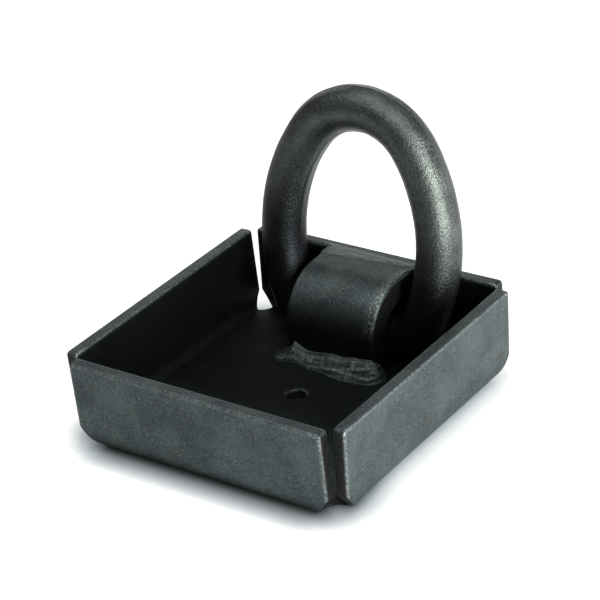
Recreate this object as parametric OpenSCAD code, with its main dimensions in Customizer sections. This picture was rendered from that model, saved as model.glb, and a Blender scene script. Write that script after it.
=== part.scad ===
// Weld-in tie-down anchor: a folded plate pan with a forged D-ring that turns under a bent strap.
// Millimetres, +Z up, front towards -Y. The origin is on the underside, at the centre of the drain hole.

/* [Pan] */
// Outside size of the square rim
pan_size = 150; // [140:1:220]
// Height of the rim above the underside
pan_height = 45; // [42:1:80]
// Thickness of the folded plate
plate_t = 6; // [4:0.5:8]
// Inside radius of the four folds
fold_r = 4.5; // [3:0.5:8]
// Outward lean of the walls, in degrees
wall_lean = 2; // [0:0.5:4]
// Gap between a wall's end and the next wall's inside face, just above the folds
corner_gap = 0.3; // [0.2:0.1:2]
// Rounding of the rim's edges
rim_r = 0.8; // [0.3:0.1:1.5]
// Radius of the corner relief's round end, on the underside
relief_r = 7; // [4:0.1:8]
// Reach of the corner relief into the floor, from the walls' inside corner
relief_reach = 10.4; // [9:0.1:13]
// Height at which the corner relief ends in a point
relief_h = 12; // [10:0.5:16]
// Diameter of the drain hole
drain_d = 9; // [5:0.5:14]

/* [Ring] */
// Diameter of the ring's rod
rod_d = 21.5; // [16:0.5:24]
// Outside width of the ring
ring_w = 107.8; // [98:0.2:120]
// Inside radius of the ring's heels, where the bar turns into the legs
heel_r = 1.1; // [0.6:0.1:3]
// Inside radius of the ring's nose
nose_r = 23.6; // [20:0.2:25]
// Width of the trimmed flash land round the ring
flash_w = 4; // [2:0.5:6]
// Height of the flash land above the rod
flash_h = 0.15; // [0.05:0.05:0.3]
// Space between the ring's nose and the front wall when the ring lies in the pan
nose_gap = 6; // [3:0.5:20]

/* [Strap] */
// Width of the strap, along the ring's bar
strap_w = 48.5; // [38:0.5:52]
// Thickness of the strap
strap_t = 12; // [8:0.5:14]
// Inside radius of the strap's bend
strap_r = 12; // [8:0.5:14]
// Rounding of the strap's long edges
strap_edge_r = 1.5; // [0.5:0.1:3]
// Running clearance between the ring's bar and the floor
bar_play = 0.25; // [0.15:0.05:1]
// Space between the ring's bar and the strap's inside face
front_play = 1.4; // [0.8:0.1:3]
// Space between the ring's bar and the strap's inside top face
top_play = 5.1; // [3:0.1:8]
// Space between the ring's bar and the back wall
back_play = 4.5; // [2:0.1:6]
// Space between the strap's ends and the ring's heels
side_play = 0.4; // [0.3:0.1:2]
// Clearance left where the leaning ring meets the back wall's top edge
stop_play = 0.2; // [0.1:0.05:0.5]

/* [Welds] */
// Leg length of the front fillet weld
fillet_leg = 8; // [4:0.5:9]
// Crown of the front fillet weld above a straight face
fillet_crown = 1; // [0.4:0.1:2]
// Width of the top weld on the strap's top
groove_w = 6.2; // [4:0.2:9]
// Depth of the top weld
groove_depth = 8.5; // [5:0.5:10]

/* [Hidden] */
$fn = 96;
steel_dark = "#3d4446";
steel_mid = "#566062";
weld_grey = "#4c5454";
far = 4 * pan_size;
// How far a flat stretch of the pan runs into the fold that it joins, so that the two become one solid
seam = 0.01;
// How far a cut runs past the face that it cuts
cut = 1;

// Places are kept to a hundredth of a millimetre or of a degree, so that what meets has the same numbers
function hundredth(v) = round(100 * v) / 100;

// Folds: outside radius, straight length of a wall above the fold, and the fold's centre from the middle
fold_outer_r = fold_r + plate_t;
wall_len = (pan_height - fold_outer_r + fold_r * sin(wall_lean)) / cos(wall_lean);
fold_at = pan_size / 2 - fold_outer_r * cos(wall_lean) - wall_len * sin(wall_lean);
// Distance from the middle to a wall's inside face at height z
function wall_inside(z) =
    fold_at + fold_r * cos(wall_lean) + (z - fold_outer_r + fold_r * sin(wall_lean)) * tan(wall_lean);
// Half length of each wall along the rim
wall_half = wall_inside(fold_outer_r) - corner_gap;

// Ring's bar: radius with and without the flash land, and the axis that it turns about
rod_r = rod_d / 2;
land_r = rod_r + flash_h;
bar_z = hundredth(plate_t + land_r + bar_play);
bar_y = hundredth(wall_inside(bar_z) - rod_r - back_play);
// Lean at which the ring rests on the back wall's inside top edge
stop_y = wall_inside(pan_height) - bar_y;
stop_z = pan_height - bar_z;
ring_lean = hundredth(atan2(stop_y, stop_z) - asin((rod_r + stop_play) / norm([stop_y, stop_z])));

// Centreline of the ring: bar, heel arc, side arc and nose arc, each tangent to the next
bar_half = strap_w / 2 + side_play;
heel_c = heel_r + land_r;
nose_c = nose_r + rod_r;
ring_half = ring_w / 2 - rod_r;
ring_len = bar_y + wall_inside(bar_z) - nose_gap - rod_r;
// The side arc's centre is as far from the nose's and the heel's centres as its radius exceeds theirs.
// That gives one quadratic for the height of its centre, and then its radius.
nose_rise = ring_len - nose_c;
nose_in = ring_half - nose_c;
heel_in = ring_half - heel_c - bar_half;
side_share = heel_in / nose_in;
quad_a = 1 - side_share;
quad_b = 2 * (side_share * nose_rise - heel_c);
quad_c = heel_c ^ 2 - side_share * nose_rise ^ 2 - (ring_half - heel_c) ^ 2 + bar_half ^ 2 + heel_in * nose_in;
side_rise = -2 * quad_c / (quad_b + sqrt(quad_b ^ 2 - 4 * quad_a * quad_c));
side_in = (nose_in ^ 2 - (side_rise - nose_rise) ^ 2) / (2 * nose_in);
// Directions, from the side arc's centre, in which it meets the heel and the nose
heel_dir = hundredth(atan2(heel_c - side_rise, bar_half - side_in));
nose_dir = hundredth(atan2(nose_rise - side_rise, -side_in));
// Side arc's radius and the arcs' centres, from those directions
side_c = (bar_half + heel_c * cos(heel_dir) - nose_c * cos(nose_dir)) / (cos(heel_dir) - cos(nose_dir));
side_at = [(nose_c - side_c) * cos(nose_dir), heel_c - (side_c - heel_c) * sin(heel_dir)];
nose_at = [0, side_at.y + (side_c - nose_c) * sin(nose_dir)];

// Strap: its top face, the inside and front faces of its leg, and the centre of its bend
strap_top_z = hundredth(bar_z + rod_r + top_play + strap_t);
leg_in_y = hundredth(bar_y - rod_r - front_play);
leg_front_y = leg_in_y - strap_t;
bend_y = leg_in_y + strap_r;
bend_z = strap_top_z - strap_t - strap_r;

// Section of the pan through two facing walls, in the plane of the fold's turn
module wall_section() {
    translate([fold_at, fold_outer_r]) {
        intersection() {
            difference() {
                circle(fold_outer_r);
                circle(fold_r);
            }
            polygon([[0, 0], [0, -far], [far, -far], [far * cos(wall_lean), -far * sin(wall_lean)]]);
        }
        rotate(-wall_lean) translate([fold_r, 0]) {
            translate([0, -seam]) square([plate_t, wall_len - rim_r + seam]);
            translate([rim_r, 0]) square([plate_t - 2 * rim_r, wall_len]);
            for (x = [rim_r, plate_t - rim_r])
                translate([x, wall_len - rim_r]) circle(rim_r);
        }
    }
}

// Relief at one corner: a slot with a round end, which a cut in the flat opens out over the folds.
// It closes to a point up the walls' inside corner and runs up each wall's end on the outside.
module corner_relief() {
    corner = hundredth(wall_inside(fold_outer_r));
    out = 3 * fold_outer_r;
    foot = hundredth(corner - relief_r * sqrt(2));
    slot_at = relief_r - relief_reach;
    intersection() {
        translate([corner, corner, -cut]) rotate(45) translate([slot_at, 0]) linear_extrude(relief_h + 2 * cut) {
            circle(relief_r);
            translate([0, -relief_r]) square([out, 2 * relief_r]);
        }
        union() {
            translate([corner, corner, 0]) rotate([90, 0, 135]) linear_extrude(2 * out, center = true)
                polygon([[-relief_r, -cut], [relief_r, -cut], [relief_r, 0], [0, relief_h], [-relief_r, 0]]);
            intersection_for (turn = [0, 1]) mirror([turn, -turn, 0])
                rotate([90, 0, 180]) linear_extrude(far)
                    polygon([[-foot, -cut], [-foot, 0], [-corner, relief_h], [-far, relief_h], [-far, -cut]]);
        }
    }
}

// One pair of facing walls with the floor between them, freed at the four corners
module channel() {
    difference() {
        rotate([90, 0, 0]) linear_extrude(2 * wall_half, center = true) {
            translate([-fold_at - seam, 0]) square([2 * (fold_at + seam), plate_t]);
            for (side = [0, 1]) mirror([side, 0]) wall_section();
        }
        for (quarter = [0 : 3]) rotate(90 * quarter) corner_relief();
    }
}

// Folded pan: two crossing channels with the drain hole through their common floor
module pan() {
    color(steel_mid) difference() {
        union() {
            channel();
            rotate(90) channel();
        }
        translate([0, 0, -cut]) cylinder(h = plate_t + 2 * cut, d = drain_d);
    }
}

// Everything behind the back wall's inside face, used to fit what butts against it
module behind_back_wall() {
    translate([0, fold_at, fold_outer_r]) rotate([-wall_lean, 0, 0])
        translate([-far / 2, fold_r, -far / 2]) cube([far, far, far]);
}

// The wedge of weld between the strap's bevelled end and the back wall
module weld_groove(extra) {
    root_z = strap_top_z - groove_depth;
    root_y = wall_inside(root_z);
    top_y = wall_inside(strap_top_z);
    rotate([90, 0, 90]) linear_extrude(strap_w + extra, center = true)
        polygon([[root_y, root_z], [top_y - groove_w, strap_top_z], [top_y - groove_w, strap_top_z + extra],
                 [top_y + plate_t, strap_top_z + extra], [top_y + plate_t, root_z]]);
}

// Section of the flat bar: x along its width, y through its thickness
module bar_section() {
    for (x = [-1, 1], y = [strap_edge_r, strap_t - strap_edge_r])
        translate([x * (strap_w / 2 - strap_edge_r), y]) circle(strap_edge_r);
    translate([-strap_w / 2, strap_edge_r]) square([strap_w, strap_t - 2 * strap_edge_r]);
    translate([strap_edge_r - strap_w / 2, 0]) square([strap_w - 2 * strap_edge_r, strap_t]);
}

// Bent strap: leg, quarter bend and top run, with its end bevelled for the weld
module ring_strap() {
    color(steel_mid) difference() {
        union() {
            translate([0, leg_front_y, plate_t]) linear_extrude(bend_z - plate_t) bar_section();
            translate([0, bend_y, bend_z]) rotate([90, 0, -90]) rotate_extrude(angle = 90)
                translate([strap_r, 0]) rotate(-90) bar_section();
            translate([0, bend_y, strap_top_z]) rotate([-90, 0, 0])
                linear_extrude(hundredth(pan_size / 2 - bend_y)) bar_section();
        }
        behind_back_wall();
        weld_groove(cut);
    }
}

// Section of the forged rod, with the flash land on its inner and outer sides
module rod_section() {
    circle(rod_r);
    square([2 * land_r, flash_w], center = true);
}

// Moves by whole hundredths and then by the small rest, which keeps the arcs' ends together
module place(v) {
    coarse = [for (c = v) hundredth(c)];
    translate(coarse) translate(v - coarse) children();
}

// Arc of the ring about the origin, turned from +X towards +Y
module ring_arc(centre_r, turn) {
    rotate_extrude(angle = turn) place([centre_r, 0]) rod_section();
}

// One side of the ring in its own plane: heel, leg and half of the nose
module ring_side() {
    place([bar_half, heel_c]) rotate(-90) ring_arc(heel_c, 90 + heel_dir);
    place(side_at) {
        mirror([0, 1, 0]) ring_arc(side_c, -heel_dir);
        ring_arc(side_c, nose_dir);
    }
    place(nose_at) rotate(90) mirror([0, 1, 0]) ring_arc(nose_c, 90 - nose_dir);
}

// Forged ring, drawn in its own plane with the bar on X and the nose towards +Y
module flat_ring() {
    rotate([0, 90, 0]) linear_extrude(2 * bar_half, center = true) rotate(90) rod_section();
    ring_side();
    mirror([1, 0, 0]) ring_side();
}

// Ring at rest: it stands in the pan and leans on the back wall
module lashing_ring() {
    color(steel_dark) translate([0, bar_y, bar_z]) rotate([90 - ring_lean, 0, 0]) flat_ring();
}

// Section of the fillet weld: its inner corner at the origin, one leg along +X and the other up
module fillet_section() {
    half_chord = fillet_leg / sqrt(2);
    crown_r = (half_chord ^ 2 + fillet_crown ^ 2) / (2 * fillet_crown);
    centre = fillet_leg / 2 - (crown_r - fillet_crown) / sqrt(2);
    intersection() {
        square(fillet_leg);
        translate([centre, centre]) circle(crown_r, $fn = 360);
    }
}

// Fillet weld along the strap's foot, round both corners and out on the strap's sides
module front_weld() {
    corner_x = strap_w / 2 - strap_edge_r;
    color(weld_grey) translate([0, leg_front_y, plate_t]) {
        rotate([90, 0, -90]) linear_extrude(2 * corner_x, center = true) fillet_section();
        for (side = [0, 1]) mirror([side, 0]) {
            translate([corner_x, strap_edge_r, 0]) rotate(-90) rotate_extrude(angle = 90)
                translate([strap_edge_r, 0]) fillet_section();
            translate([strap_w / 2, strap_edge_r, 0]) rotate_extrude(angle = 90) fillet_section();
        }
    }
}

// Groove weld between the strap and the back wall, dressed flush with the rim
module top_weld() {
    color(weld_grey) intersection() {
        difference() {
            weld_groove(0);
            behind_back_wall();
        }
        translate([-strap_w / 2, -far, -far]) cube([strap_w, 2 * far, far + strap_top_z]);
    }
}

pan();
ring_strap();
lashing_ring();
front_weld();
top_weld();
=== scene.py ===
"""Looks of the weld-on tie-down anchor: folded pan, forged ring, strap over its bar, and two welds."""

import logging
import math
from dataclasses import dataclass
from enum import Enum

import bmesh
import bpy
from bmesh.types import BMEdge, BMesh, BMFace, BMVert
from mathutils import Matrix, Vector, noise


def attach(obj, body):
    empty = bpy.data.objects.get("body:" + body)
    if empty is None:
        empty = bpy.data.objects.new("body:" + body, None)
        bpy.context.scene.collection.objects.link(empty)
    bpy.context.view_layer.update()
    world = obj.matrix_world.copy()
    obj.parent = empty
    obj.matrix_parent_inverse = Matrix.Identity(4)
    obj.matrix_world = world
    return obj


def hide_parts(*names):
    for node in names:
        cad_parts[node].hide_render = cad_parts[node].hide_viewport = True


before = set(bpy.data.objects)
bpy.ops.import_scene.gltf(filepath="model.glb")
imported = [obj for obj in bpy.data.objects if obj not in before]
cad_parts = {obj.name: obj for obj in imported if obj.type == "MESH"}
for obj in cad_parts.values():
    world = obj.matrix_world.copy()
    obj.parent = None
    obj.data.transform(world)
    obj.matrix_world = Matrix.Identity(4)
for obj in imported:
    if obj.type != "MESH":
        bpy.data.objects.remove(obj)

LOG = logging.getLogger("tie_down_anchor")
MM = 0.001
Pair = tuple[float, float]
Line = tuple[Pair, ...]
Point = tuple[float, float, float]
Colour = tuple[float, float, float]
Socket = bpy.types.NodeSocket


class Body(Enum):
    """The rigid bodies of the frame."""

    ANCHOR = "anchor"
    RING = "ring"


def held(value: float) -> float:
    """Holds a value between 0 and 1."""
    return max(0.0, min(1.0, value))


def eased(value: float) -> float:
    """Holds a value between 0 and 1, and lets it leave and reach them gently."""
    share = held(value)
    return share * share * (3 - 2 * share)


def verts_of(geometry: list) -> list[BMVert]:
    """Picks the vertices out of what an operator gives back."""
    return [item for item in geometry if isinstance(item, BMVert)]


def seen(red: int, green: int, blue: int) -> Colour:
    """Turns a colour as a screen shows it into the linear numbers that a shader takes.

    Args:
        red: Red from 0 to 255.
        green: Green from 0 to 255.
        blue: Blue from 0 to 255.

    Returns:
        The linear colour.
    """
    def linear(level: int) -> float:
        """One channel, from 0 to 255, as a linear number."""
        share = level / 255
        return share / 12.92 if share <= 0.04045 else ((share + 0.055) / 1.055) ** 2.4

    return linear(red), linear(green), linear(blue)


class Shader:
    """The node tree of a material or of the world, with short calls for the nodes in use."""

    def __init__(self, owner: bpy.types.Material | bpy.types.World, output: str, coordinates: str) -> None:
        """Starts an empty tree with its output.

        Args:
            owner: The material or the world.
            output: The type of its output node.
            coordinates: The name of the coordinates that its patterns lie on.
        """
        owner.use_nodes = True
        self.owner = owner
        self.tree = owner.node_tree
        self.tree.nodes.clear()
        self.output = self.tree.nodes.new(output)
        self.coordinates = self.tree.nodes.new("ShaderNodeTexCoord").outputs[coordinates]

    @classmethod
    def of_material(cls, name: str) -> "Shader":
        """Starts a new material, with its patterns in the object's own coordinates."""
        return cls(bpy.data.materials.new(name), "ShaderNodeOutputMaterial", "Object")

    def feed(self, socket: Socket, source: object) -> None:
        """Links a source to a socket, or sets the socket to a plain value.

        Args:
            socket: The socket to feed.
            source: Another node's socket, a colour or a number.
        """
        if isinstance(source, Socket):
            self.tree.links.new(source, socket)
        elif isinstance(source, tuple) and len(source) == 3 and socket.type == "RGBA":
            socket.default_value = (*source, 1.0)
        else:
            socket.default_value = source

    def noise(self, size_mm: float, detail: float, rough: float, where: Socket | None = None) -> Socket:
        """Adds a noise pattern.

        Args:
            size_mm: Size of one patch, in millimetres.
            detail: Octaves of finer detail.
            rough: Share of the finer detail.
            where: Coordinates to use in place of the object's own.

        Returns:
            The pattern's value, about 0 to 1.
        """
        node = self.tree.nodes.new("ShaderNodeTexNoise")
        node.inputs["Scale"].default_value = 1 / (size_mm * MM)
        node.inputs["Detail"].default_value = detail
        node.inputs["Roughness"].default_value = rough
        self.feed(node.inputs["Vector"], where or self.coordinates)
        return node.outputs["Fac"]

    def stretched(self, scale: Point) -> Socket:
        """Stretches the coordinates along their axes.

        Args:
            scale: The scale on each axis, below 1 for longer patches.

        Returns:
            The stretched coordinates.
        """
        node = self.tree.nodes.new("ShaderNodeMapping")
        self.feed(node.inputs["Vector"], self.coordinates)
        node.inputs["Scale"].default_value = scale
        return node.outputs["Vector"]

    def ramp(self, value: Socket, low: float, high: float,
             to_low: float = 0.0, to_high: float = 1.0) -> Socket:
        """Eases a value from one range to another, held at both ends.

        Args:
            value: The value.
            low: Where it starts to change.
            high: Where it stops.
            to_low: The result at and below the start.
            to_high: The result at and above the end.

        Returns:
            The eased value.
        """
        node = self.tree.nodes.new("ShaderNodeMapRange")
        node.interpolation_type = "SMOOTHSTEP"
        for name, number in (("From Min", low), ("From Max", high), ("To Min", to_low), ("To Max", to_high)):
            node.inputs[name].default_value = number
        self.feed(node.inputs["Value"], value)
        return node.outputs["Result"]

    def maths(self, operation: str, first: object, second: object = 0.0) -> Socket:
        """Works out one sum.

        Args:
            operation: The Math node's operation.
            first: The first number.
            second: The second number.

        Returns:
            The result.
        """
        node = self.tree.nodes.new("ShaderNodeMath")
        node.operation = operation
        self.feed(node.inputs[0], first)
        self.feed(node.inputs[1], second)
        return node.outputs[0]

    def mix(self, share: object, first: object, second: object) -> Socket:
        """Mixes two colours.

        Args:
            share: 0 for the first colour, 1 for the second.
            first: The first colour.
            second: The second colour.

        Returns:
            The mixed colour.
        """
        node = self.tree.nodes.new("ShaderNodeMix")
        node.data_type = "RGBA"
        self.feed(node.inputs["Factor"], share)
        self.feed(node.inputs["A"], first)
        self.feed(node.inputs["B"], second)
        return node.outputs["Result"]

    def attribute(self, name: str) -> Socket:
        """Reads a number that the mesh carries.

        Args:
            name: The attribute's name.

        Returns:
            The number.
        """
        node = self.tree.nodes.new("ShaderNodeAttribute")
        node.attribute_name = name
        return node.outputs["Fac"]

    def axis(self, name: str) -> Socket:
        """Takes one of the coordinates.

        Args:
            name: X, Y or Z.

        Returns:
            The coordinate.
        """
        node = self.tree.nodes.new("ShaderNodeSeparateXYZ")
        self.feed(node.inputs[0], self.coordinates)
        return node.outputs[name]

    def along(self, bearing: float) -> Socket:
        """Measures how far the coordinates lie along a bearing.

        Args:
            bearing: Degrees from +X towards +Y.

        Returns:
            The distance.
        """
        angle = math.radians(bearing)
        node = self.tree.nodes.new("ShaderNodeVectorMath")
        node.operation = "DOT_PRODUCT"
        self.feed(node.inputs[0], self.coordinates)
        node.inputs[1].default_value = (math.cos(angle), math.sin(angle), 0.0)
        return node.outputs["Value"]

    def bump(self, height: Socket, depth_mm: float, under: Socket | None = None) -> Socket:
        """Adds relief from a pattern.

        Args:
            height: The pattern, 0 to 1.
            depth_mm: Height of the relief, in millimetres.
            under: Relief that this one lies on.

        Returns:
            The surface's normal.
        """
        node = self.tree.nodes.new("ShaderNodeBump")
        node.inputs["Distance"].default_value = depth_mm * MM
        self.feed(node.inputs["Height"], height)
        if under is not None:
            self.feed(node.inputs["Normal"], under)
        return node.outputs["Normal"]

    def surface(self, colour: object, roughness: object, metallic: float,
                normal: Socket | None = None) -> bpy.types.Material:
        """Ends the tree with a Principled BSDF.

        Args:
            colour: Base colour.
            roughness: Roughness.
            metallic: Share of metal.
            normal: Relief.

        Returns:
            The finished material.
        """
        node = self.tree.nodes.new("ShaderNodeBsdfPrincipled")
        self.feed(node.inputs["Base Color"], colour)
        self.feed(node.inputs["Roughness"], roughness)
        node.inputs["Metallic"].default_value = metallic
        if normal is not None:
            self.feed(node.inputs["Normal"], normal)
        self.feed(self.output.inputs["Surface"], node.outputs["BSDF"])
        return self.owner


@dataclass(frozen=True)
class BlastedSteel:
    """Bare steel, blasted and handled: dark, satin and speckled, bright at scuffed edges and at painted
    highlights, and darkened by painted shade where the mesh marks it.
    """

    name: str
    dark: Colour = seen(63, 72, 74)
    pale: Colour = seen(108, 121, 121)
    worn_and_glint: Colour = seen(200, 211, 209)
    brown: Colour = seen(93, 80, 68)
    shade_and_seam_dark: Colour = seen(30, 32, 37)
    shade_depth: float = 0.9
    speckle: float = 0.3
    speck_mm: float = 0.6
    grain_mm: float = 0.8
    grain_depth_mm: float = 0.2
    blotch_mm: float = 14.0
    blotch_depth_mm: float = 0.25
    stain_mm: float = 9.0
    stain: float = 0.35
    ragged_mm: float = 1.4
    seam: float = 0.6
    roughness: float = 0.48
    gloss_spread: float = 0.06
    metallic: float = 0.92

    def wear_and_glint(self, shader: Shader) -> Socket:
        """How far the surface is brightened, 0 to 1: partly scuffing, partly painted highlight."""
        return shader.ramp(shader.attribute("wear_and_glint"), 0.0, 1.0, 0.0, 0.95)

    def shade_share(self, shader: Shader) -> Socket:
        """How far the surface is darkened, 0 to 1: painted shade inside the pan and low on the ring, and
        darker sheared faces.
        """
        return shader.maths("MULTIPLY", shader.attribute("inside"), self.shade_depth)

    def rusty(self, shader: Shader) -> Socket:
        """How far the surface is stained brown, 0 to 1, in streaks down a sheared face."""
        streak = shader.noise(1.8, 3.0, 0.6, shader.stretched((1.0, 1.0, 0.12)))
        return shader.maths("MULTIPLY", shader.attribute("cut"), shader.ramp(streak, 0.35, 0.65, 0.1, 0.75))

    def material(self) -> bpy.types.Material:
        """Builds the finish's material.

        Returns:
            The material.
        """
        shader = Shader.of_material(self.name)
        grain = shader.noise(self.grain_mm, 3.0, 0.65)
        blotch = shader.noise(self.blotch_mm, 3.0, 0.6)
        fine = shader.ramp(grain, 0.35, 0.65, 0.0, 0.55)
        broad = shader.ramp(blotch, 0.3, 0.7, 0.0, 0.45)
        colour = shader.mix(shader.maths("ADD", fine, broad), self.dark, self.pale)
        stain = shader.ramp(shader.noise(self.stain_mm, 4.0, 0.6), 0.56, 0.8, 0.0, self.stain)
        colour = shader.mix(stain, colour, self.brown)
        specks = shader.ramp(shader.noise(self.speck_mm, 1.0, 0.5), 0.58, 0.74, 0.0, self.speckle)
        colour = shader.mix(specks, colour, self.worn_and_glint)
        colour = shader.mix(self.rusty(shader), colour, self.brown)
        # Painted shade: the colour goes towards near-black where the mesh marks the surface as darkened.
        colour = shader.mix(self.shade_share(shader), colour, self.shade_and_seam_dark)
        ragged = shader.ramp(shader.noise(self.ragged_mm, 3.0, 0.7), 0.38, 0.62, 0.1, 1.0)
        # Scuffed edges and painted highlights: the colour goes bright where the mesh marks it, broken up by
        # ragged noise.
        wear_and_glint = shader.maths("MULTIPLY", self.wear_and_glint(shader), ragged)
        colour = shader.mix(wear_and_glint, colour, self.worn_and_glint)
        seam = shader.maths("MULTIPLY", shader.attribute("seam"), self.seam)
        colour = shader.mix(seam, colour, self.shade_and_seam_dark)
        shiny, dull = self.roughness - self.gloss_spread, self.roughness + self.gloss_spread
        roughness = shader.ramp(grain, 0.2, 0.8, shiny, dull)
        relief = shader.bump(grain, self.grain_depth_mm)
        relief = shader.bump(blotch, self.blotch_depth_mm, relief)
        return shader.surface(colour, roughness, self.metallic, relief)


@dataclass(frozen=True)
class StrapSteel(BlastedSteel):
    """The strap's flat bar: bright specks painted as a highlight at its lit right edge, stained and darker
    at its ends, and painted shade down in the pan.
    """

    half_width_mm: float = 24.25
    dark_mm: Pair = (21.0, 47.0)
    highlight_heights_mm: Pair = (23.0, 34.0)
    belt_mm: Pair = (26.0, 34.0)
    highlight_width_mm: float = 8.0
    rub_and_highlight: float = 0.9
    highlight_speck_mm: float = 0.9
    belt: float = 0.4
    end_darkening: float = 0.35
    end_blotch_mm: float = 3.0
    end_blotch: float = 0.7

    def end(self, shader: Shader, start_mm: float, stop_mm: float) -> Socket:
        """Rises from 0 to 1 towards both ends of the bar's width, between two distances from them."""
        across = shader.maths("ABSOLUTE", shader.axis("X"))
        return shader.ramp(across, (self.half_width_mm - start_mm) * MM, (self.half_width_mm - stop_mm) * MM)

    @staticmethod
    def upwards(shader: Shader, heights_mm: Pair, low: float, high: float) -> Socket:
        """Eases from one value to another between two heights."""
        return shader.ramp(shader.axis("Z"), heights_mm[0] * MM, heights_mm[1] * MM, low, high)

    def wear_and_glint(self, shader: Shader) -> Socket:
        """Paints bright specks as a highlight near the right long edge, on the lit side, where it stands
        above the pan's painted shade.

        Args:
            shader: The material's tree.

        Returns:
            How far the surface is brightened, 0 to 1.
        """
        inner, outer = self.half_width_mm - self.highlight_width_mm, self.half_width_mm - 1.0
        edge = shader.ramp(shader.axis("X"), inner * MM, outer * MM)
        rub_and_highlight = shader.maths("MULTIPLY", edge, shader.maths("SUBTRACT", 1.0, self.end(shader, 1.2, 0.5)))
        specks = shader.ramp(shader.noise(self.highlight_speck_mm, 1.0, 0.5), 0.45, 0.6, 0.1, 1.0)
        rub_and_highlight = shader.maths("MULTIPLY", rub_and_highlight, specks)
        return shader.maths("MULTIPLY", rub_and_highlight, self.upwards(shader, self.highlight_heights_mm, 0.0, self.rub_and_highlight))

    def shade_share(self, shader: Shader) -> Socket:
        """Paints shade on the strap from the bend down to the foot, and darkens its end faces.

        Args:
            shader: The material's tree.

        Returns:
            How far the surface is darkened, 0 to 1.
        """
        low = self.upwards(shader, self.dark_mm, self.shade_depth, 0.0)
        ends = shader.maths("MULTIPLY", self.end(shader, 0.3, 0.0), self.end_darkening)
        return shader.maths("MAXIMUM", low, ends)

    def rusty(self, shader: Shader) -> Socket:
        """Stains the end faces brown, and a belt where the bend runs down into the leg.

        Args:
            shader: The material's tree.

        Returns:
            How far the surface is stained, 0 to 1.
        """
        blotch = shader.ramp(shader.noise(self.end_blotch_mm, 3.0, 0.6), 0.4, 0.6, 0.0, self.end_blotch)
        ends = shader.maths("MULTIPLY", self.end(shader, 0.12, 0.04), blotch)
        return shader.maths("MAXIMUM", ends, self.upwards(shader, self.belt_mm, self.belt, 0.0))


class Piece:
    """Turns a bmesh in millimetres into a finished object of the scene."""

    @staticmethod
    def place(name: str, mesh: BMesh, body: Body, slot: str,
              material: bpy.types.Material) -> bpy.types.Object:
        """Makes the object, at the origin and in metres, riding on its body.

        Args:
            name: The piece's name.
            mesh: The shape, in millimetres. It is freed.
            body: The body that it moves with.
            slot: The record's material slot; not used.
            material: The finish.

        Returns:
            The object.
        """
        bmesh.ops.scale(mesh, vec=(MM, MM, MM), verts=mesh.verts)
        data = bpy.data.meshes.new(name)
        mesh.to_mesh(data)
        mesh.free()
        for face in data.polygons:
            face.use_smooth = True
        data.materials.append(material)
        piece = bpy.data.objects.new(name, data)
        bpy.context.scene.collection.objects.link(piece)
        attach(piece, body.value)
        LOG.info("%s: %d faces", name, len(data.polygons))
        return piece

    @staticmethod
    def soften(piece: bpy.types.Object, width_mm: float, segments: int = 3) -> None:
        """Rounds the edges that the mesh marks with a live bevel, and evens the shading.

        Args:
            piece: The object.
            width_mm: The bevel's width, in millimetres, where the mark is 1.
            segments: Faces across the bevel.
        """
        bevel = piece.modifiers.new("edges", "BEVEL")
        bevel.width = width_mm * MM
        bevel.segments = segments
        bevel.limit_method = "WEIGHT"
        bevel.use_clamp_overlap = False
        bevel.harden_normals = True

    @staticmethod
    def dress(node: str, material: bpy.types.Material) -> None:
        """Gives a CAD node its finish.

        Args:
            node: The node's name.
            material: The finish.
        """
        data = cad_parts[node].data
        data.materials.clear()
        data.materials.append(material)


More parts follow.
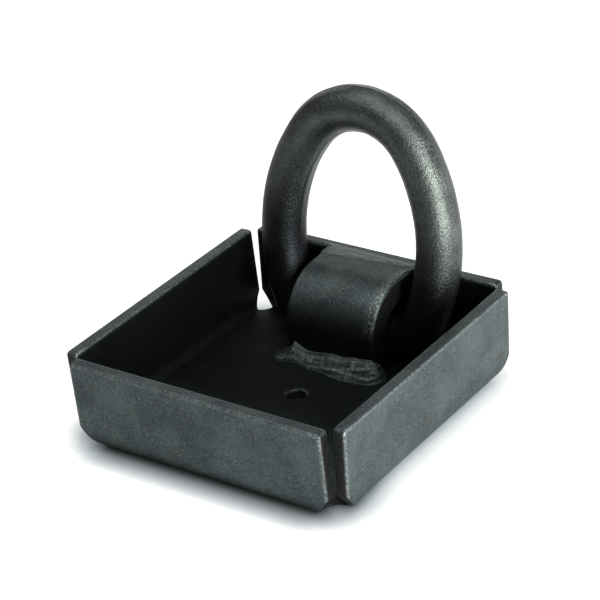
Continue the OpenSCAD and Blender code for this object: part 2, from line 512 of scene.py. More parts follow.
@dataclass
class FoldedPan:
    """The pan: a plate cut as a cross, with a relief at each inner corner, folded up on four sides.

    Sizes are in millimetres and angles in degrees. The flat blank's plane is the middle of the plate. A
    place in the blank is given by x and y, or by far, its distance from the middle along the wall's axis.
    """

    size: float = 150.0
    height: float = 45.0
    plate: float = 6.0
    fold_r: float = 4.5
    lean: float = 2.0
    corner_gap: float = 0.3
    drain_d: float = 9.0
    relief_r: float = 7.0
    relief_reach: float = 10.4
    relief_h: float = 12.0
    relief_fade: float = 12.0
    relief_steps: int = 16
    drain_steps: int = 10
    rim_steps: int = 4
    cell: float = 2.5
    fold_cells: int = 9
    layers: int = 4
    touch: float = 0.01
    snap: float = 0.12
    band: float = 2.4
    rim_corner_r: float = 1.9
    edge_r: float = 1.1
    drain_edge: float = 0.25
    relief_edge: float = 0.45
    edge_wear_and_glint: float = 0.6
    corner_glint: float = 0.5
    corner_glint_reach: float = 7.0
    drain_glint: float = 0.5
    drain_slant: float = 0.4
    lit_from: float = 12.0
    lit_over: float = 45.0
    lit: float = 0.85
    cut_dark: float = 0.75

    def __post_init__(self) -> None:
        """Works out the fold's and the relief's places from the sizes."""
        lean = math.radians(self.lean)
        self.outer_r = self.fold_r + self.plate
        self.mid_r = self.fold_r + self.plate / 2
        self.wall_len = (self.height - self.outer_r + self.fold_r * math.sin(lean)) / math.cos(lean)
        self.fold_at = self.size / 2 - self.outer_r * math.cos(lean) - self.wall_len * math.sin(lean)
        self.turn = math.radians(90) - lean
        self.arc = self.mid_r * self.turn
        self.flat_end = self.fold_at + self.arc + self.wall_len
        face_in, face_rise = self.fold_r * math.cos(lean), self.fold_r * math.sin(lean)
        self.corner = self.fold_at + face_in + face_rise * math.tan(lean)
        self.wall_half = self.corner - self.corner_gap
        self.round_at = self.corner + (self.relief_r - self.relief_reach) / math.sqrt(2)
        self.relief_tip = self.round_at - self.relief_r / math.sqrt(2)
        self.relief_zone = self.corner - 3 * self.relief_r
        self.relief = self.relief_outline()

    def section(self, far: float, side: float) -> Pair:
        """Where the folded plate lies, seen along the fold.

        Args:
            far: Distance from the blank's middle.
            side: Height above the plate's middle.

        Returns:
            The distance from the pan's middle, and the height.
        """
        run = far - self.fold_at
        if run <= 0:
            return far, self.plate / 2 + side
        turn = min(run / self.mid_r, self.turn)
        straight = max(run - self.arc, 0.0)
        out = self.fold_at + (self.mid_r - side) * math.sin(turn) + straight * math.cos(turn)
        up = self.outer_r - (self.mid_r - side) * math.cos(turn) + straight * math.sin(turn)
        return out, up

    def half_width(self, far: float, side: float) -> float:
        """Half the width that the blank has at a distance from its middle, where the relief has cut it.

        Args:
            far: Distance from the blank's middle.
            side: Height above the plate's middle.

        Returns:
            The half width.
        """
        out, up = self.section(far, side)
        if up >= self.relief_h:
            return self.wall_half
        spread = math.sqrt(2) * self.relief_r
        opened = min(out, self.corner) - spread * (1 - up / self.relief_h)
        beside = out - self.round_at
        if beside > self.relief_r / math.sqrt(2):
            slot = out - spread
        else:
            slot = self.round_at - math.sqrt(self.relief_r ** 2 - beside ** 2)
        return min(max(opened, slot), self.wall_half)

    def relief_outline(self) -> list[Pair]:
        """Draws the relief's edge in the blank, from a wall's end to the diagonal.

        Returns:
            Its points.
        """
        lean = math.radians(self.lean)
        above_fold = (self.relief_h - self.outer_r) / math.cos(lean) + self.mid_r * math.tan(lean)
        top = self.fold_at + self.arc + above_fold
        steps = range(self.relief_steps)
        fars = [top + (self.relief_tip - top) * step / self.relief_steps for step in steps]
        return [(self.half_width(far, 0.0), far) for far in fars]

    def quarter_outline(self) -> list[Point]:
        """Draws the outline of a quarter of the blank, from the drain hole round to the drain hole.

        Returns:
            Its points, anticlockwise.
        """
        rounding = []
        for step in range(self.rim_steps + 1):
            slant = math.pi / 2 * step / self.rim_steps
            inset = self.rim_corner_r
            rounding.append((self.flat_end - inset + inset * math.cos(slant),
                             self.wall_half - inset + inset * math.sin(slant)))
        points = [(self.flat_end, 0.0)] + rounding
        points += [(y, x) for x, y in self.relief]
        points.append((self.relief_tip, self.relief_tip))
        points += reversed(self.relief)
        points += [(y, x) for x, y in reversed(rounding)]
        points.append((0.0, self.flat_end))
        for step in range(self.drain_steps + 1):
            angle = math.pi / 2 * (1 - step / self.drain_steps)
            points.append((self.drain_d / 2 * math.cos(angle), self.drain_d / 2 * math.sin(angle)))
        return [(x, y, 0.0) for x, y in points]

    def edge_distance(self, x: float, y: float) -> float:
        """Measures from a place of the blank to its nearest cut edge.

        Args:
            x: First place in the blank.
            y: Second place in the blank.

        Returns:
            The distance.
        """
        near, far = sorted((abs(x), abs(y)))
        apart = min(self.flat_end - far, self.wall_half - near, math.hypot(x, y) - self.drain_d / 2)
        if near > self.relief_zone:
            apart = min([apart] + [math.hypot(near - px, far - py) for px, py in self.relief])
        return apart

    def cut_lines(self) -> list[float]:
        """Finds where the blank is divided so that it can fold.

        Returns:
            The lines' places on either axis, from the middle outwards.
        """
        floor_cells = round(self.fold_at / self.cell)
        wall_cells = round(self.wall_len / self.cell)
        lines = [self.fold_at * step / floor_cells for step in range(floor_cells)]
        lines += [self.fold_at + self.arc * step / self.fold_cells for step in range(self.fold_cells)]
        lines += [self.fold_at + self.arc + self.wall_len * step / wall_cells for step in range(wall_cells)]
        both_ways = {sign * line for line in lines for sign in (-1, 1)}
        return sorted(both_ways, key=lambda line: (abs(line), line))

    def blank(self) -> BMesh:
        """Cuts the flat blank.

        Returns:
            The flat sheet, with a band of narrow faces along its edges.
        """
        mesh = bmesh.new()
        mesh.faces.new([mesh.verts.new(point) for point in self.quarter_outline()])
        for axis in ("X", "Y"):
            bmesh.ops.mirror(mesh, geom=[*mesh.verts, *mesh.edges, *mesh.faces], axis=axis, merge_dist=0.001)
        bmesh.ops.recalc_face_normals(mesh, faces=mesh.faces)
        bmesh.ops.inset_region(mesh, faces=mesh.faces, thickness=self.band, use_boundary=True,
                               use_even_offset=True)
        for line in self.cut_lines():
            for axis, normal in enumerate((Vector((1, 0, 0)), Vector((0, 1, 0)))):
                on_floor = abs(line) < self.fold_at - self.touch
                faces = [face for face in mesh.faces if on_floor or self.walls(face) == axis]
                edges = dict.fromkeys(edge for face in faces for edge in face.edges)
                verts = dict.fromkeys(vert for face in faces for vert in face.verts)
                bmesh.ops.bisect_plane(mesh, geom=[*faces, *edges, *verts], dist=self.snap,
                                       plane_co=normal * line, plane_no=normal)
        return mesh

    @staticmethod
    def walls(face: BMFace) -> int:
        """Tells on which axis the wall lies that a face of the blank belongs to: 0 for X, 1 for Y."""
        middle = face.calc_center_median()
        return 0 if abs(middle.x) > abs(middle.y) else 1

    def folded(self, x: float, y: float, side: float) -> Point:
        """Where a point of the blank goes when the plate is folded.

        Args:
            x: First place in the blank.
            y: Second place in the blank.
            side: Height above the plate's middle.

        Returns:
            The point of the pan.
        """
        near, far = sorted((abs(x), abs(y)))
        out, up = self.section(far, side)
        if far > self.fold_at:
            edge = self.half_width(far, 0.0)
            shift = self.half_width(far, side) - edge
            near += shift * max(0.0, 1 - (edge - near) / self.relief_fade)
        if abs(x) > abs(y):
            return math.copysign(out, x), math.copysign(near, y), up
        return math.copysign(near, x), math.copysign(out, y), up

    def darkness(self, far: float, y: float) -> float:
        """Tells how deep the inside's painted shade is: full on the walls, and less towards the floor's
        front, where more light falls.

        Args:
            far: Distance from the blank's middle.
            y: Place towards the back.

        Returns:
            The darkness, 0 to 1.
        """
        if far > self.fold_at:
            return min(1.0, (self.flat_end - far) / self.band)
        return 1.0 - self.lit * held(-(y + self.lit_from) / self.lit_over)

    def rounding(self, x: float, y: float) -> float:
        """Gives the share of the edge radius that the blank's edge has at a place.

        Args:
            x: First place in the blank.
            y: Second place in the blank.

        Returns:
            The share.
        """
        near, far = sorted((abs(x), abs(y)))
        if far < self.drain_d:
            return self.drain_edge
        if near > self.relief_zone and far < self.fold_at + self.arc:
            return self.relief_edge
        return 1.0

    def rub_and_highlight(self, x: float, y: float) -> float:
        """Tells how bright the plate's edges are made, partly scuffing and partly painted highlight: most at
        the walls' corners, and behind the drain hole.

        Args:
            x: First place in the blank.
            y: Second place in the blank.

        Returns:
            The brightening, 0 to 1.
        """
        near, far = sorted((abs(x), abs(y)))
        if far < self.drain_d:
            # Painted highlight, on the drain hole's far edge only.
            strength = self.drain_glint if y > self.drain_slant * x else 0.0
        elif self.rounding(x, y) < 1.0:
            strength = 0.0
        else:
            to_corner = math.hypot(self.flat_end - far, self.wall_half - near)
            # Scuffed edges and painted highlight, with painted glints at the walls' top corners.
            strength = self.edge_wear_and_glint + self.corner_glint * held(1 - to_corner / self.corner_glint_reach)
        return min(1.0, strength) * max(0.0, 1 - self.edge_distance(x, y) / self.band)

    def thicken(self, mesh: BMesh) -> None:
        """Gives the flat sheet its thickness, in layers, and marks the rows between its two faces as cut.

        Args:
            mesh: The flat sheet.
        """
        wear_and_glint = mesh.verts.layers.float["wear_and_glint"]
        cut = mesh.verts.layers.float["cut"]
        bmesh.ops.translate(mesh, vec=(0, 0, -self.plate / 2), verts=mesh.verts)
        raised = bmesh.ops.extrude_face_region(mesh, geom=list(mesh.faces))
        bmesh.ops.translate(mesh, vec=(0, 0, self.plate), verts=verts_of(raised["geom"]))
        across = [edge for edge in mesh.edges if edge.verts[0].co.z * edge.verts[1].co.z < 0]
        inner = bmesh.ops.subdivide_edges(mesh, edges=across, cuts=self.layers - 1, use_grid_fill=True)
        for vert in verts_of(inner["geom_inner"]):
            vert[wear_and_glint] = 0.0
            vert[cut] = 1.0

    def mark_edges(self, mesh: BMesh) -> None:
        """Marks how far the edges between the plate's faces and its cut sides are rounded.

        Args:
            mesh: The flat plate.
        """
        cut = mesh.verts.layers.float["cut"]
        rounded = mesh.edges.layers.float.new("bevel_weight_edge")
        for edge in mesh.edges:
            on_face = all(abs(vert.co.z) > self.plate / 2 - self.touch for vert in edge.verts)
            cut_faces = [face for face in edge.link_faces if any(vert[cut] > 0.5 for vert in face.verts)]
            if on_face and len(cut_faces) == 1:
                edge[rounded] = min(self.rounding(vert.co.x, vert.co.y) for vert in edge.verts)

    def fold(self, mesh: BMesh) -> None:
        """Folds the plate, and marks the painted shade of its inside, and its sheared ends, which are
        darkened too.

        Args:
            mesh: The flat plate.
        """
        cut = mesh.verts.layers.float["cut"]
        inside = mesh.verts.layers.float["inside"]
        rim = self.flat_end - self.rim_corner_r
        for vert in mesh.verts:
            near, far = sorted((abs(vert.co.x), abs(vert.co.y)))
            vert[cut] = vert[cut] if self.drain_d < far < rim and near > self.drain_d else 0.0
            # The inner face gets painted shade; the sheared faces get a share of the same darkening.
            if vert.co.z > self.plate / 2 - self.touch or far < self.drain_d:
                vert[inside] = self.darkness(far, vert.co.y)
            else:
                vert[inside] = self.cut_dark * vert[cut]
            vert.co = self.folded(*vert.co)

    def build(self, finish: BlastedSteel) -> bpy.types.Object:
        """Cuts, thickens and folds the plate, and rounds its edges.

        Args:
            finish: The plate's finish.

        Returns:
            The pan.
        """
        mesh = self.blank()
        for name in ("wear_and_glint", "cut", "inside"):
            mesh.verts.layers.float.new(name)
        wear_and_glint = mesh.verts.layers.float["wear_and_glint"]
        for vert in mesh.verts:
            vert[wear_and_glint] = self.rub_and_highlight(vert.co.x, vert.co.y)
        self.thicken(mesh)
        self.mark_edges(mesh)
        self.fold(mesh)
        bmesh.ops.recalc_face_normals(mesh, faces=mesh.faces)
        pan = Piece.place("folded_pan", mesh, Body.ANCHOR, "pan_plate", finish.material())
        Piece.soften(pan, self.edge_r)
        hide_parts("pan")
        return pan


@dataclass
class ForgedRing:
    """The ring: a forged rod with a bar, tight heels, bowed legs, a round nose and its trimmed flash land.

    Sizes are in millimetres and angles in degrees. It is drawn in its own plane, with the bar on X and the
    nose towards +Y, and then stood up in the pan.
    """

    rod_d: float = 21.5
    width: float = 107.8
    reach: float = 104.06
    heel_r: float = 1.1
    nose_r: float = 23.6
    bar_half: float = 24.65
    flash_w: float = 4.0
    flash_h: float = 0.15
    bar_y: float = 52.78
    bar_z: float = 17.15
    lean: float = 10.36
    section_steps: int = 72
    step: float = 1.2
    lump: float = 0.12
    lump_size: float = 9.0
    dent: float = 0.05
    dent_size: float = 2.5
    outer_seam: float = 0.3
    right_seam: float = 0.4
    shade_from: float = 72.0
    shade_tilt: float = 0.3
    shade_over: float = 38.0

    def __post_init__(self) -> None:
        """Works out the three arcs of the centreline, each tangent to the next."""
        self.rod_r = self.rod_d / 2
        self.heel_c = self.heel_r + self.rod_r + self.flash_h
        self.nose_c = self.nose_r + self.rod_r
        half = self.width / 2 - self.rod_r
        nose_rise = self.reach - self.nose_c
        nose_in = half - self.nose_c
        heel_in = half - self.heel_c - self.bar_half
        share = heel_in / nose_in
        linear = 2 * (share * nose_rise - self.heel_c)
        constant = (self.heel_c ** 2 - share * nose_rise ** 2 - (half - self.heel_c) ** 2
                    + self.bar_half ** 2 + heel_in * nose_in)
        rise = -2 * constant / (linear + math.sqrt(linear ** 2 - 4 * (1 - share) * constant))
        inward = (nose_in ** 2 - (rise - nose_rise) ** 2) / (2 * nose_in)
        self.side_at = (inward, rise)
        self.heel_dir = math.atan2(self.heel_c - rise, self.bar_half - inward)
        self.nose_dir = math.atan2(nose_rise - rise, -inward)
        self.side_c = half - inward
        self.nose_at = (0.0, nose_rise)

    def outline(self, mesh: BMesh) -> None:
        """Cuts the rod's section at the middle of the bar: a circle with a flat land on either side.

        Args:
            mesh: The empty mesh.
        """
        seam = mesh.verts.layers.float.new("seam")
        verts = bmesh.ops.create_circle(mesh, segments=self.section_steps, radius=self.rod_r)["verts"]
        bmesh.ops.rotate(mesh, cent=(0, 0, 0), matrix=Matrix.Rotation(math.pi / 2, 3, "Y"), verts=verts)
        pitch = math.pi * self.rod_d / self.section_steps
        for vert in verts:
            off = abs(vert.co.z) - self.flash_w / 2
            if off < 0:
                vert.co.y = math.copysign(self.rod_r + self.flash_h, vert.co.y)
            elif off < pitch:
                vert[seam] = 1.0 if vert.co.y > 0 else self.outer_seam

    def sweep(self, mesh: BMesh) -> None:
        """Draws the section along the bar, round the heel, up the leg and to the top of the nose.

        Args:
            mesh: The mesh that holds the section.
        """
        geometry = [*mesh.verts, *mesh.edges]
        steps = round(self.bar_half / self.step)
        for _ in range(steps):
            edges = [item for item in geometry if isinstance(item, BMEdge)]
            fresh = verts_of(bmesh.ops.extrude_edge_only(mesh, edges=edges)["geom"])
            bmesh.ops.translate(mesh, vec=(self.bar_half / steps, 0, 0), verts=fresh)
            linked = dict.fromkeys(edge for vert in fresh for edge in vert.link_edges)
            geometry = fresh + [edge for edge in linked if all(vert in fresh for vert in edge.verts)]
        arcs = (((self.bar_half, self.heel_c), self.heel_c, math.pi / 2 + self.heel_dir),
                (self.side_at, self.side_c, self.nose_dir - self.heel_dir),
                (self.nose_at, self.nose_c, math.pi / 2 - self.nose_dir))
        for centre, radius, turn in arcs:
            spun = bmesh.ops.spin(mesh, geom=geometry, cent=(*centre, 0), axis=(0, 0, 1), angle=turn,
                                  steps=max(2, round(radius * turn / self.step)))
            geometry = spun["geom_last"]

    def build(self, finish: BlastedSteel) -> bpy.types.Object:
        """Forges the ring and stands it in the pan.

        Args:
            finish: The ring's finish.

        Returns:
            The ring.
        """
        mesh = bmesh.new()
        self.outline(mesh)
        self.sweep(mesh)
        bmesh.ops.mirror(mesh, geom=[*mesh.verts, *mesh.edges, *mesh.faces], axis="X", merge_dist=0.02)
        bmesh.ops.recalc_face_normals(mesh, faces=mesh.faces)
        mesh.normal_update()
        inside = mesh.verts.layers.float.new("inside")
        seam = mesh.verts.layers.float["seam"]
        for vert in mesh.verts:
            lumps = self.lump * noise.noise(vert.co / self.lump_size)
            lumps += self.dent * noise.noise(vert.co / self.dent_size)
            vert.co += vert.normal * min(0.0, lumps - self.dent)
            if vert.co.x > 0:
                vert[seam] *= self.right_seam
            # Painted shade: the ring darkens lower down, and from higher up on its left leg than on its
            # right.
            shade_from = self.shade_from - self.shade_tilt * vert.co.x
            vert[inside] = held((shade_from - vert.co.y) / self.shade_over)
        stand = Matrix.Translation((0, self.bar_y, self.bar_z)) @ Matrix.Rotation(
            math.radians(90 - self.lean), 4, "X")
        bmesh.ops.transform(mesh, matrix=stand, verts=mesh.verts)
        ring = Piece.place("forged_ring", mesh, Body.RING, "forged_ring", finish.material())
        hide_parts("lashing_ring")
        return ring


@dataclass(frozen=True)
class Station:
    """One place along the fillet bead: where its root is, which way it faces, and how long its legs are."""

    x: float
    back: float
    bearing: float
    floor_leg: float
    strap_leg: float


@dataclass
class FilletBead:
    """The rough fillet weld along the strap's foot, which ends round both of its corners.

    Sizes are in millimetres and angles in degrees, clockwise from +X seen from above.
    """

    root_y: float = 28.63
    root_z: float = 6.0
    crown: float = 1.0
    sunk: float = 0.7
    cell: float = 0.5
    face_steps: int = 26
    hidden_steps: int = 6
    corner_r: float = 6.0
    streak: float = 0.4
    streak_bend: float = 6.0
    streak_rows: float = 7.0
    ripple: float = 0.04
    ripple_mm: float = 2.6
    grit: float = 0.12
    floor_wander: float = 0.5
    strap_wander: float = 0.3
    worn_and_glint: float = 0.1
    crest_glint: float = 1.2
    end_glint: float = 0.5
    dark_hollow: float = 3.5
    hollow_from: float = 0.1
    stations: tuple[Station, ...] = tuple(Station(*row) for row in (
        (-24.2, 6.5, 180, 0.6, 0.6), (-24.2, 2.0, 180, 4.5, 2.6),
        (-24.0, 0.3, 152, 6.8, 2.9), (-23.4, 0.0, 126, 8.2, 4.0),
        (-21.4, 0.0, 104, 7.3, 6.4), (-19.4, 0.0, 96, 6.4, 8.9),
        (-16.6, 0.0, 91, 6.0, 7.0), (-13.0, 0.0, 90, 6.8, 5.6),
        (-8.0, 0.0, 90, 7.7, 5.6), (-1.4, 0.0, 90, 8.1, 7.0),
        (6.8, 0.0, 90, 9.6, 7.2), (14.0, 0.0, 90, 9.8, 8.1),
        (20.5, 0.0, 90, 9.1, 9.0), (23.4, 0.0, 72, 8.6, 9.2),
        (24.2, 0.4, 38, 7.6, 8.4), (24.2, 2.0, 12, 6.3, 7.6),
        (24.2, 5.4, 0, 2.6, 4.0), (24.2, 7.4, 0, 0.6, 0.6)))

    def __post_init__(self) -> None:
        """Measures the bead along its middle."""
        self.runs = [0.0]
        for one, two in zip(self.stations, self.stations[1:]):
            apart = math.hypot(two.x - one.x, two.back - one.back)
            apart += math.radians(abs(two.bearing - one.bearing)) * self.corner_r
            self.runs.append(self.runs[-1] + apart)

    def station(self, run: float) -> Station:
        """Finds the bead's root, bearing and legs at a distance along it.

        Args:
            run: The distance.

        Returns:
            The place.
        """
        index = max(i for i, start in enumerate(self.runs[:-1]) if start <= run or i == 0)
        span = self.runs[index + 1] - self.runs[index]
        share = eased((run - self.runs[index]) / span)
        one, two = self.stations[index], self.stations[index + 1]

        def between(name: str) -> float:
            """A value of the station, part of the way from one to the next."""
            return getattr(one, name) + (getattr(two, name) - getattr(one, name)) * share

        return Station(*(between(name) for name in ("x", "back", "bearing", "floor_leg", "strap_leg")))

    def roughness(self, run: float, share: float) -> float:
        """Adds up the bead's streaks, ripples and grit at a place of its face.

        The numbers inside a noise call only stretch and shift its pattern.

        Args:
            run: Distance along the bead.
            share: Place across its face, 0 at the floor's toe and 1 at the strap's.

        Returns:
            The height.
        """
        bent = run + self.streak_bend * (share - 0.4) ** 2
        across = share * self.streak_rows
        streaks = self.streak * noise.fractal((bent / 13 + 7, across - run / 20 + 9, 0.3), 0.9, 2.2, 3)
        waves = self.ripple * math.sin(2 * math.pi * bent / self.ripple_mm)
        grit = self.grit * noise.fractal((run * 0.8 + share * 3, across - run * 0.3, 2.7), 0.6, 2.1, 3)
        return (streaks + waves + grit) * min(1.0, 6 * share * (1 - share) + 0.15)

    def point(self, run: float, turn: float) -> Point:
        """A point of the bead's skin.

        Args:
            run: Distance along the bead.
            turn: Place round its section: 0 at the floor's toe, up to 1 at the strap's, and on to 2 through
                the steel behind it.

        Returns:
            The point.
        """
        here = self.station(run)
        floor_leg, strap_leg = here.floor_leg, here.strap_leg
        floor_leg += self.floor_wander * noise.noise((run / 3.2, 5.1, 0.0)) * min(1.0, floor_leg / 4)
        strap_leg += self.strap_wander * noise.noise((run / 3.0, 9.4, 0.0)) * min(1.0, strap_leg / 4)
        if turn <= 1:
            slope = math.hypot(floor_leg, strap_leg)
            rise = self.crown * 4 * turn * (1 - turn) * min(1.0, floor_leg / 5) + self.roughness(run, turn)
            out = (1 - turn) * floor_leg + rise * strap_leg / slope
            up = turn * strap_leg + rise * floor_leg / slope
        elif turn <= 1.5:
            out = -self.sunk
            up = strap_leg + (-self.sunk - strap_leg) * (turn - 1) * 2
        else:
            out = -self.sunk + (floor_leg + self.sunk) * (turn - 1.5) * 2
            up = -self.sunk if turn < 2 else 0.0
        bearing = math.radians(here.bearing)
        return (here.x + out * math.cos(bearing), self.root_y + here.back - out * math.sin(bearing),
                self.root_z + up)

    def build(self, finish: BlastedSteel) -> bpy.types.Object:
        """Lays the bead.

        Args:
            finish: The weld metal's finish.

        Returns:
            The bead.
        """
        length = self.runs[-1]
        mesh = bmesh.new()
        round_steps = self.face_steps + self.hidden_steps
        bmesh.ops.create_grid(mesh, x_segments=round(length / self.cell), y_segments=round_steps, size=1)
        wear_and_glint = mesh.verts.layers.float.new("wear_and_glint")
        seam = mesh.verts.layers.float.new("seam")
        for vert in mesh.verts:
            run = (vert.co.x + 1) / 2 * length
            place = round((vert.co.y + 1) / 2 * round_steps)
            if place <= self.face_steps:
                turn = place / self.face_steps
                relief = self.roughness(run, turn)
                # Painted highlight on the bead's crests and growing towards its right end, over a little
                # even scuffing.
                vert[wear_and_glint] = held(self.worn_and_glint + relief * self.crest_glint + self.end_glint * (run / length) ** 2)
                vert[seam] = held(-relief * self.dark_hollow - self.hollow_from)
            else:
                turn = 1 + (place - self.face_steps) / self.hidden_steps
            vert.co = self.point(run, turn)
        bmesh.ops.remove_doubles(mesh, verts=mesh.verts, dist=0.001)
        bmesh.ops.holes_fill(mesh, edges=[edge for edge in mesh.edges if edge.is_boundary], sides=0)
        bmesh.ops.recalc_face_normals(mesh, faces=mesh.faces)
        bead = Piece.place("front_bead", mesh, Body.ANCHOR, "weld_metal", finish.material())
        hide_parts("front_weld")
        return bead


@dataclass
class WeldSkin:
    """The skin of weld metal that was dressed over the strap's end, the groove and the back rim.

    Sizes are in millimetres. Its edge is ragged, and dives into the steel under it.
    """

    top: float = 45.0
    thick: float = 0.22
    feather: float = 2.4
    wobble: float = 0.9
    fine_wobble: float = 0.3
    seam: float = 0.9
    seam_at: float = 0.3
    seam_w: float = 1.1
    overhang: float = 0.4
    half: float = 24.1
    rim_at: float = 69.3
    cell: float = 0.4
    lump: float = 0.12
    slope: float = 0.5
    dive: float = 0.4
    stray_under: float = 0.3
    bottom: float = 0.9
    low: Pair = (-29.0, 57.0)
    high: Pair = (26.0, 73.5)
    front: Line = ((-24.2, 59.3), (-13.3, 61.0), (17.9, 64.6), (24.6, 66.7))
    back: Line = ((-28.0, 71.6), (-8.0, 71.2), (10.0, 70.4), (28.0, 70.2))
    left: Line = ((57.0, -21.9), (59.5, -22.6), (70.6, -26.3), (74.0, -27.4))

    @staticmethod
    def along(line: Line, place: float) -> float:
        """Finds the height of a bent line at a place, held at both of its ends.

        Args:
            line: The line's points.
            place: The place along it.

        Returns:
            The height.
        """
        if place <= line[0][0]:
            return line[0][1]
        for (x1, y1), (x2, y2) in zip(line, line[1:]):
            if place <= x2:
                return y1 + (y2 - y1) * (place - x1) / (x2 - x1)
        return line[-1][1]

    def inside(self, x: float, y: float) -> float:
        """Measures how far a place lies inside the skin's edge.

        Args:
            x: Place along the front wall.
            y: Place towards the back.

        Returns:
            The distance, positive on the skin.
        """
        apart = min(y - self.along(self.front, x), self.along(self.back, x) - y,
                    x - self.along(self.left, y), self.half + self.overhang - x)
        coarse, fine = noise.noise((x / 3.2, y / 1.6, 4.0)), noise.noise((x, y, 8.0))
        apart += self.wobble * coarse + self.fine_wobble * fine
        if y < self.rim_at:
            apart = min(apart, self.half - abs(x))
        return apart

    def build(self, finish: BlastedSteel) -> bpy.types.Object:
        """Lays the skin.

        Args:
            finish: The weld metal's finish.

        Returns:
            The skin.
        """
        low = Vector(self.low)
        span = Vector(self.high) - low
        mesh = bmesh.new()
        columns, rows = round(span.x / self.cell), round(span.y / self.cell)
        bmesh.ops.create_grid(mesh, x_segments=columns, y_segments=rows, size=0.5)
        seam = mesh.verts.layers.float.new("seam")
        for vert in mesh.verts:
            x = low.x + (vert.co.x + 0.5) * span.x
            y = low.y + (vert.co.y + 0.5) * span.y
            apart = self.inside(x, y)
            thick = self.thick + self.lump * noise.noise((x / 4, y / 2, 1.0))
            rise = thick * eased(apart / self.feather) if apart > 0 else apart * self.slope
            vert[seam] = max(0.0, self.seam - abs(apart - self.seam_at) / self.seam_w)
            vert.co = (x, y, self.top + max(rise, -self.dive))
        lowest = self.top - self.stray_under
        stray = [face for face in mesh.faces if max(vert.co.z for vert in face.verts) < lowest]
        bmesh.ops.delete(mesh, geom=stray, context="FACES")
        sunk = bmesh.ops.extrude_face_region(mesh, geom=list(mesh.faces))
        for vert in verts_of(sunk["geom"]):
            vert.co.z = self.top - self.bottom
        bmesh.ops.recalc_face_normals(mesh, faces=mesh.faces)
        return Piece.place("top_weld_skin", mesh, Body.ANCHOR, "weld_metal", finish.material())


@dataclass(frozen=True)
class Softbox:
    """A rectangular soft lamp. Sizes are in millimetres and the power in watts."""

    name: str
    place: Point
    aim: Point
    width: float
    height: float
    power: float


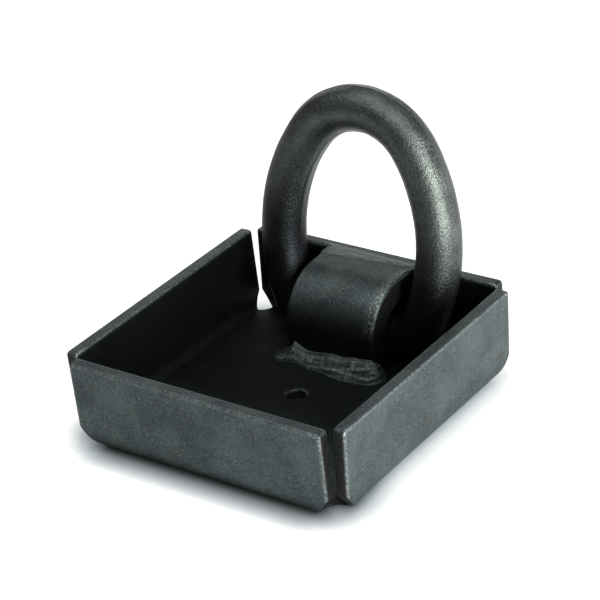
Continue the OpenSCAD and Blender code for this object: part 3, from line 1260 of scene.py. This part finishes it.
@dataclass
class Studio:
    """The floor, the lamps and the camera, as the photograph has them. Places are in millimetres."""

    eye: Point = (562.24, -726.08, 552.02)
    azimuth: float = 37.38
    elevation: float = 28.43
    roll: float = 5.71
    lens: float = 140.0
    sensor: float = 36.0
    clip: Pair = (50.0, 50000.0)
    floor_size: float = 8000.0
    glow: float = 0.82
    paper: float = 0.8
    front_glow: float = 0.065
    back_glow: float = 0.7
    glow_turn: Pair = (-0.12, 0.05)
    shade_reach: float = 16.0
    shade_power: float = 2.5
    lit_power: float = 0.6
    shade_turn: Pair = (-0.03, 0.03)
    shade_samples: int = 12
    shade_tint: Colour = (0.8, 1.0, 1.03)
    bright_bearing: float = 50.0
    band: Pair = (0.02, 0.45)
    level_turn: Pair = (-0.4, 0.9)
    front_level: float = 0.05
    back_level: float = 1.6
    top_level: float = 0.03
    lamps: tuple[Softbox, ...] = (
        Softbox("right_box", (1350, -560, 560), (0, 60, 60), 500, 900, 20),
        Softbox("top_box", (-120, -220, 1500), (0, 60, 60), 1600, 1600, 11),
        Softbox("back_box", (-800, 1050, 380), (0, 0, 40), 900, 300, 1.2),
    )

    def camera(self) -> None:
        """Places the camera at the photograph's viewpoint."""
        azimuth, elevation, roll = (math.radians(a) for a in (self.azimuth, self.elevation, self.roll))
        ahead = Vector((-math.sin(azimuth) * math.cos(elevation), math.cos(azimuth) * math.cos(elevation),
                        -math.sin(elevation)))
        level = Vector((math.cos(azimuth), math.sin(azimuth), 0.0))
        below = ahead.cross(level)
        right = math.cos(roll) * level + math.sin(roll) * below
        up = math.sin(roll) * level - math.cos(roll) * below
        lens = bpy.data.cameras.new("camera")
        lens.lens = self.lens
        lens.sensor_width = self.sensor
        lens.clip_start, lens.clip_end = (place * MM for place in self.clip)
        camera = bpy.data.objects.new("camera", lens)
        turn = Matrix((right, up, -ahead)).transposed()
        camera.matrix_world = Matrix.Translation(Vector(self.eye) * MM) @ turn.to_4x4()
        bpy.context.scene.collection.objects.link(camera)
        bpy.context.scene.camera = camera

    def floor(self) -> None:
        """Lays the pale floor, which shows white to the camera and metal. The object's shadow on it is
        painted: ambient occlusion darkens its glow and its colour, less on the lit side, and the glow that
        the metal sees is painted brighter behind the object than in front.
        """
        mesh = bmesh.new()
        bmesh.ops.create_grid(mesh, x_segments=1, y_segments=1, size=self.floor_size / 2 * MM)
        data = bpy.data.meshes.new("floor")
        mesh.to_mesh(data)
        mesh.free()
        floor = bpy.data.objects.new("floor", data)
        bpy.context.scene.collection.objects.link(floor)
        shader = Shader.of_material("white_floor")
        rays = shader.tree.nodes.new("ShaderNodeLightPath")
        seen_by = shader.maths("MAXIMUM", rays.outputs["Is Camera Ray"], rays.outputs["Is Transmission Ray"])
        behind = shader.along(self.bright_bearing)
        dimmed = shader.ramp(behind, *self.glow_turn, self.front_glow, self.back_glow)
        in_metal = shader.maths("MULTIPLY", rays.outputs["Is Glossy Ray"], dimmed)
        seen_by = shader.maths("MAXIMUM", seen_by, in_metal)
        shade = shader.tree.nodes.new("ShaderNodeAmbientOcclusion")
        shade.samples = self.shade_samples
        shade.inputs["Distance"].default_value = self.shade_reach * MM
        power = shader.ramp(behind, *self.shade_turn, self.shade_power, self.lit_power)
        open_sky = shader.maths("POWER", shade.outputs["AO"], power)
        strength = shader.maths("MULTIPLY", seen_by, shader.maths("MULTIPLY", open_sky, self.glow))
        paper = shader.tree.nodes.new("ShaderNodeBsdfDiffuse")
        shader.feed(paper.inputs["Color"], shader.maths("MULTIPLY", open_sky, self.paper))
        glow = shader.tree.nodes.new("ShaderNodeEmission")
        total = shader.tree.nodes.new("ShaderNodeAddShader")
        shader.feed(glow.inputs["Strength"], strength)
        shader.feed(glow.inputs["Color"], shader.mix(open_sky, self.shade_tint, (1.0, 1.0, 1.0)))
        shader.feed(total.inputs[0], paper.outputs[0])
        shader.feed(total.inputs[1], glow.outputs[0])
        shader.feed(shader.output.inputs["Surface"], total.outputs[0])
        data.materials.append(shader.owner)

    def lamp(self, lamp: Softbox) -> None:
        """Hangs one softbox.

        Args:
            lamp: The softbox.
        """
        light = bpy.data.lights.new(lamp.name, "AREA")
        light.shape = "RECTANGLE"
        light.size = lamp.width * MM
        light.size_y = lamp.height * MM
        light.energy = lamp.power
        hung = bpy.data.objects.new(lamp.name, light)
        hung.location = Vector(lamp.place) * MM
        hung.rotation_euler = (Vector(lamp.aim) - Vector(lamp.place)).to_track_quat("-Z", "Y").to_euler()
        bpy.context.scene.collection.objects.link(hung)

    def world(self) -> None:
        """Fills the room with soft light: bright low down behind the object, dim above and in front."""
        shader = Shader(bpy.data.worlds.new("room"), "ShaderNodeOutputWorld", "Generated")
        band = shader.ramp(shader.axis("Z"), *self.band, 1.0, 0.0)
        behind = shader.along(self.bright_bearing)
        level = shader.ramp(behind, *self.level_turn, self.front_level, self.back_level)
        strength = shader.maths("ADD", shader.maths("MULTIPLY", band, level), self.top_level)
        background = shader.tree.nodes.new("ShaderNodeBackground")
        shader.feed(background.inputs["Color"], (1.0, 1.0, 1.0))
        shader.feed(background.inputs["Strength"], strength)
        shader.feed(shader.output.inputs["Surface"], background.outputs[0])
        bpy.context.scene.world = shader.owner

    def build(self) -> None:
        """Sets the whole studio up."""
        self.camera()
        self.floor()
        self.world()
        for lamp in self.lamps:
            self.lamp(lamp)
        bpy.context.scene.view_settings.view_transform = "Standard"


def main() -> None:
    """Builds the studio and dresses the anchor, piece by piece."""
    logging.basicConfig(level=logging.INFO, format="%(message)s")
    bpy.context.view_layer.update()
    Studio().build()
    strap_steel = StrapSteel("strap_bar", pale=seen(106, 118, 118),
                             speckle=0.5, speck_mm=0.5, grain_depth_mm=0.14)
    ring_steel = BlastedSteel("ring_steel", dark=seen(82, 88, 84), pale=seen(124, 131, 126),
                              speckle=0.2, grain_mm=1.0, grain_depth_mm=0.3, roughness=0.36)
    fillet_steel = BlastedSteel("fillet_weld", dark=seen(58, 64, 66), pale=seen(92, 100, 100),
                                worn_and_glint=seen(150, 160, 158), speckle=0.4, roughness=0.55)
    skin_steel = BlastedSteel("dressed_weld", dark=seen(114, 125, 125), pale=seen(142, 154, 153))
    FoldedPan().build(BlastedSteel("pan_plate"))
    Piece.dress("ring_strap", strap_steel.material())
    ForgedRing().build(ring_steel)
    FilletBead().build(fillet_steel)
    Piece.dress("top_weld", BlastedSteel("top_weld").material())
    WeldSkin().build(skin_steel)


if __name__ == "__main__":
    main()
